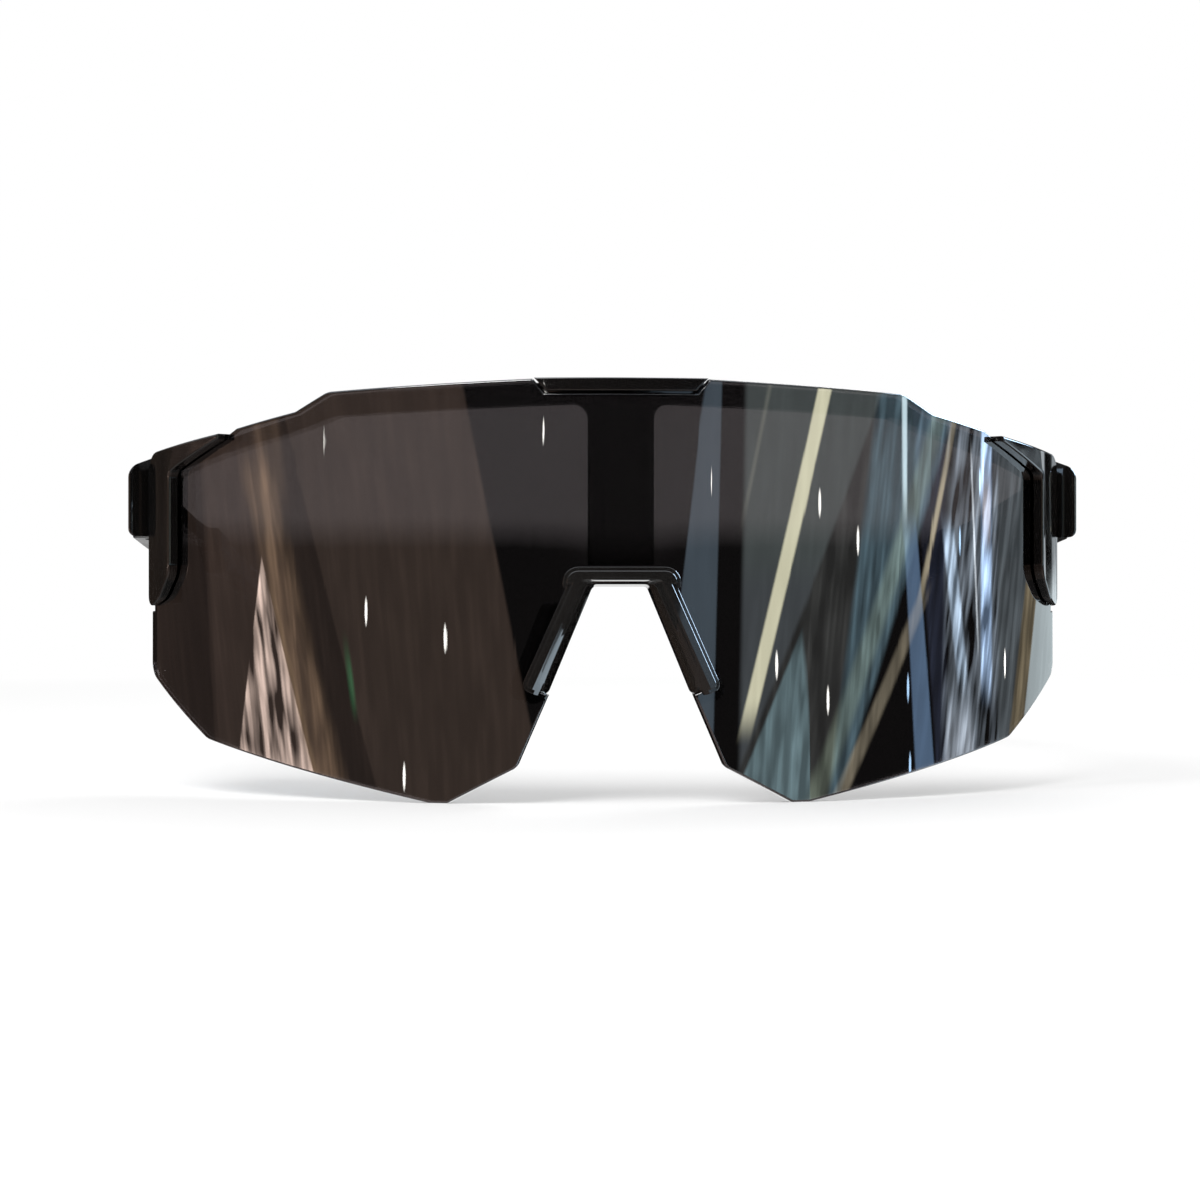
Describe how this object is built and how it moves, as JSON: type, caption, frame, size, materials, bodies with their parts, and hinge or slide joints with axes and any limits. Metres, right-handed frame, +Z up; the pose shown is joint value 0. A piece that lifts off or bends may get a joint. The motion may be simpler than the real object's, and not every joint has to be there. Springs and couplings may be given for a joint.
{
  "type": "cycling glasses",
  "caption": "Wraparound cycling glasses with a one-piece smoked shield lens, a half frame, side clips, a nose bridge with soft pads, and folding temples with rubber ear socks.",
  "frame": {"origin": "centre of the bounding box at its bottom: the level of the two lower tips of the lens, midway between the wearer's left and right, and between the front of the nose bridge and the ends of the ear socks", "axes": "+X to the wearer's left, +Y from the lens back to the ear socks, +Z up; the temples are open"},
  "size_m": [0.1488, 0.1838, 0.0607],
  "materials": {
    "lens": "dark smoke, mirror gloss",
    "frame": "black, gloss in front and satin behind",
    "trim": "black, high gloss",
    "pads": "black, soft matt",
    "temples": "black, satin",
    "socks": "black, soft matt",
    "screws": "turned",
    "nuts": "turned"
  },
  "bodies": {
    "front": {"lens": "lens", "frame": "frame", "nose_bridge": "trim", "nose_pad_left": "pads", "nose_pad_right": "pads", "side_clip_left": "trim", "side_clip_right": "trim"},
    "temple_left": {"temple_left": "temples", "ear_sock_left": "socks", "hinge_screw_left": "screws", "hinge_nut_left": "nuts"},
    "temple_right": {"temple_right": "temples", "ear_sock_right": "socks", "hinge_screw_right": "screws", "hinge_nut_right": "nuts"}
  },
  "joints": [
    {"name": "temple_left_fold", "type": "hinge", "parent": "front", "child": "temple_left", "pos_m": [0.07098, -0.03962, 0.0446], "axis": [0, 0, 1], "range_deg": [0, 82]},
    {"name": "temple_right_fold", "type": "hinge", "parent": "front", "child": "temple_right", "pos_m": [-0.07098, -0.03962, 0.0446], "axis": [0, 0, -1], "range_deg": [0, 88]}
  ]
}
